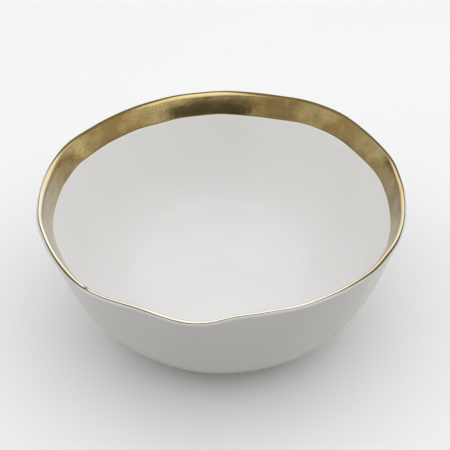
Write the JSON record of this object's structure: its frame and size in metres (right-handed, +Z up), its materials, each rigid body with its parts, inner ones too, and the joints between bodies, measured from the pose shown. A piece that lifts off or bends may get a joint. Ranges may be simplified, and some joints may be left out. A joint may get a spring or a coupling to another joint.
{
  "type": "serving bowl",
  "caption": "Round deep porcelain serving bowl with an uneven hand-formed rim, a gilded band inside the rim and a low foot ring.",
  "frame": {"origin": "middle of the foot ring's contact face, on the table", "axes": "+Z up along the bowl's axis through the foot; -Y is the side with the deepest dip of the rim to its left, +X to the right seen from that side"},
  "size_m": [0.2779, 0.2813, 0.1193],
  "materials": {
    "fired_clay": "fired white porcelain, hidden under glaze",
    "bare_foot_clay": "bare fired clay, lightly sanded",
    "liner_glaze": "smooth satin-gloss white glaze",
    "outer_glaze": "smooth gloss white glaze",
    "satin_gold": "satin fired gold with a fine speckle",
    "bright_gold": "polished fired gold"
  },
  "bodies": {
    "root": {"porcelain_body": "fired_clay", "foot_ring": "bare_foot_clay", "interior_glaze": "liner_glaze", "exterior_glaze": "outer_glaze", "foot_well_glaze": "outer_glaze", "gold_band": "satin_gold", "gold_lip": "bright_gold"}
  },
  "joints": []
}
